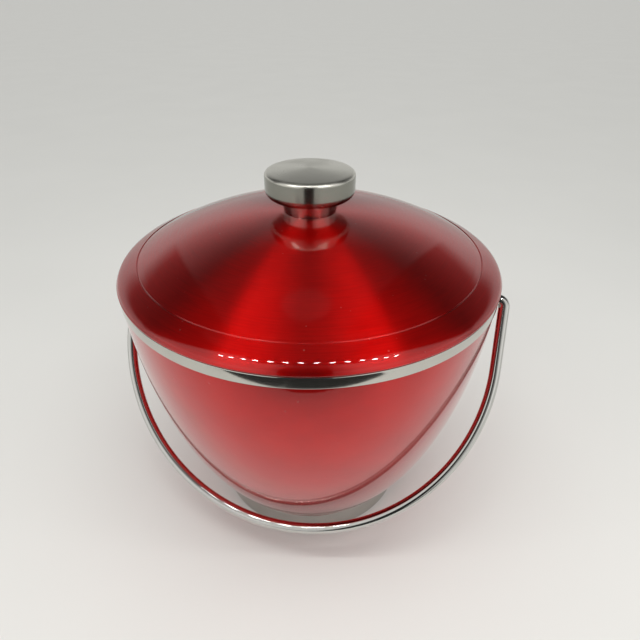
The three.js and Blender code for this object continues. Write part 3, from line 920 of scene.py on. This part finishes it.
def camera_side(x, y, z):
    """Moves to a place given as right, away and up from the bucket's foot, as the camera faces."""
    return Matrix.Rotation(TURN, 4, "Z") @ Matrix.Translation((x, y, z))


def make_floor():
    """A plain pale floor, wide enough for every view."""
    bpy.ops.mesh.primitive_plane_add(size=FLOOR_SIZE, location=(0, 0, 0))
    floor = bpy.context.object
    floor.name = "floor"
    look = Look("floor_look", Roughness=0.55, Specular_IOR_Level=0.3)
    look.drive("Base Color", look.mix(look.noise(scale=6.0, detail=3.0), *FLOOR_TONES))
    floor.data.materials.append(look.material)


def make_flag(name, width, height, place):
    """A black card that only reflections see, as a studio uses to shape the gloss on metal."""
    bpy.ops.mesh.primitive_plane_add(size=1.0)
    card = bpy.context.object
    card.name = name
    card.matrix_world = place @ Matrix.Diagonal((width, height, 1, 1))
    look = Look(name + "_look", Roughness=0.9)
    look.drive("Base Color", FLAG_TONE)
    card.data.materials.append(look.material)
    card.visible_camera = False
    card.visible_diffuse = False
    card.visible_shadow = False


def make_flags():
    """One flag lies in front of the bucket, and one stands there."""
    upright = Matrix.Rotation(math.pi / 2, 4, "X")
    make_flag("table_edge_flag", 0.50, 0.24, camera_side(-0.05, -0.39, 0.001))
    make_flag("person_flag", 0.17, 0.6, camera_side(-0.01, -0.40, 0.30) @ upright)


def tent_light(nodes):
    """How bright each direction is to a reflection: a lit tent whose sides are open."""
    edge = 0.02              # softness of the tent's edges
    least = 0.05             # keeps divisions clear of zero
    roof_light = 0.04
    vent_light = 0.09        # added to the roof's
    open_light = 0.03        # where the tent is open, and added everywhere
    floor_light = 0.22       # added near the floor
    turn = {"Vector": nodes.node("ShaderNodeTexCoord").outputs["Generated"], "Angle": -TURN}
    direction = nodes.node("ShaderNodeVectorRotate", turn, rotation_type="Z_AXIS").outputs[0]
    x, y, z = nodes.node("ShaderNodeSeparateXYZ", {0: direction}).outputs
    level = nodes.divide(z, nodes.length(x, y))
    depth = nodes.math("ABSOLUTE", y)
    in_front = nodes.subtract(1.0, nodes.fade(y, -0.1, 0.1))

    # Behind the object the tent is lit only between two planes; in front and near the floor, all round
    right_of_left = nodes.fade(nodes.weighted((x, 1.0), (y, 0.508), (z, 0.46)), -edge, edge)
    left_of_right = nodes.fade(nodes.weighted((x, -1.0), (y, 0.53), (z, 0.19)), -edge, edge)
    near_floor = nodes.fade(level, 0.22, 0.45, 1.0, 0.0)
    between_planes = nodes.multiply(right_of_left, left_of_right)
    lit_side = nodes.larger(between_planes, nodes.larger(near_floor, in_front))

    # A dark roof with one round vent that is less dark
    spread = nodes.larger(depth, nodes.multiply(nodes.math("ABSOLUTE", x), in_front))
    overhead = nodes.subtract(z, nodes.multiply(spread, nodes.add(1.6, in_front)))
    height = nodes.larger(z, least)
    vent_x = nodes.add(nodes.divide(x, height), 0.03)
    vent_y = nodes.subtract(nodes.divide(y, height), 0.24)
    vent = nodes.fade(nodes.length(vent_x, vent_y), 0.13, 0.15, 1.0, 0.0)
    roof = nodes.add(roof_light, nodes.multiply(vent, vent_light))

    # Walls that darken upwards, with the front one paler towards its sides
    slant = nodes.math("ABSOLUTE", nodes.divide(x, nodes.larger(depth, least)))
    back_wall = nodes.multiply(
        nodes.fade(slant, 0.15, 0.6, 0.42, 0.36), nodes.fade(level, 0.25, 1.05, 1.0, 0.08))
    front_wall = nodes.multiply(
        nodes.fade(slant, 0.2, 0.6, 0.18, 0.80), nodes.fade(level, 1.2, 3.0, 1.0, 0.5))
    wall = nodes.between(in_front, back_wall, front_wall)

    inside = nodes.between(nodes.fade(overhead, -edge, edge), wall, roof)
    everywhere = nodes.add(open_light, nodes.multiply(near_floor, floor_light))
    return nodes.add(nodes.multiply(inside, lit_side), everywhere)


def make_world():
    """A pale surround for the camera and for soft light, and the tent for reflections."""
    world = bpy.data.worlds.new("studio")
    bpy.context.scene.world = world
    world.use_nodes = True
    world.node_tree.nodes.clear()
    nodes = Nodes(world.node_tree)
    tent = nodes.node("ShaderNodeBackground", {"Color": TENT_WHITE, "Strength": tent_light(nodes)})
    room = nodes.node("ShaderNodeBackground", {"Color": ROOM_WHITE, "Strength": ROOM_STRENGTH})
    ray = nodes.node("ShaderNodeLightPath").outputs
    plain = nodes.larger(ray["Is Camera Ray"], ray["Is Diffuse Ray"])
    chosen = nodes.node("ShaderNodeMixShader", {0: plain, 1: tent.outputs[0], 2: room.outputs[0]})
    nodes.node("ShaderNodeOutputWorld", {"Surface": chosen.outputs[0]})


def new_lamp(name, kind, power, colour, spot):
    """A lamp that the camera doesn't see."""
    data = bpy.data.lights.new(name, kind)
    data.energy = power
    data.color = colour
    lamp = bpy.data.objects.new(name, data)
    bpy.context.scene.collection.objects.link(lamp)
    lamp.location = spot
    lamp.visible_camera = False
    return lamp


def make_lights():
    """A soft lamp overhead, and a row of small ones that the lid's shoulder reflects as dots."""
    spot = camera_side(0.06, -0.30, 0.75).translation
    target = camera_side(0.06, -0.20, 0).translation
    soft = new_lamp("ceiling_light", "AREA", SOFT_POWER, LAMP_WHITE, spot)
    soft.data.shape = "RECTANGLE"
    soft.data.size, soft.data.size_y = SOFT_SIZE
    soft.rotation_euler = (target - spot).to_track_quat("-Z", "Y").to_euler()
    soft.visible_glossy = False
    for i in range(DIODES):
        from_middle = i - (DIODES - 1) / 2
        power = DIODE_POWER + DIODE_EXTRA * min(1.0, abs(from_middle) / DIODE_RAMP)
        spot = camera_side(DIODE_SPACING * from_middle, -0.165, 0.43).translation
        diode = new_lamp(f"diode_{i + 1}", "POINT", power, DIODE_WHITE, spot)
        diode.data.shadow_soft_size = DIODE_RADIUS


def make_camera():
    """The camera, whose place is given from the middle of the lid's edge."""
    data = bpy.data.cameras.new("camera")
    data.sensor_width = SENSOR_WIDTH
    data.lens = FOCAL_LENGTH
    camera = bpy.data.objects.new("camera", data)
    bpy.context.scene.collection.objects.link(camera)
    spot = camera_side(*CAMERA_SPOT).translation + Vector((0, 0, LID_EDGE * MM))
    tilt = math.radians(90 - LOOK_DOWN)
    roll = math.radians(ROLL)
    camera.matrix_world = (
        Matrix.Translation(spot) @ Matrix.Rotation(TURN, 4, "Z")
        @ Matrix.Rotation(tilt, 4, "X") @ Matrix.Rotation(roll, 4, "Z")
    )
    bpy.context.scene.camera = camera


build()
make_floor()
make_flags()
make_world()
make_lights()
make_camera()
bpy.context.scene.view_settings.view_transform = "Standard"
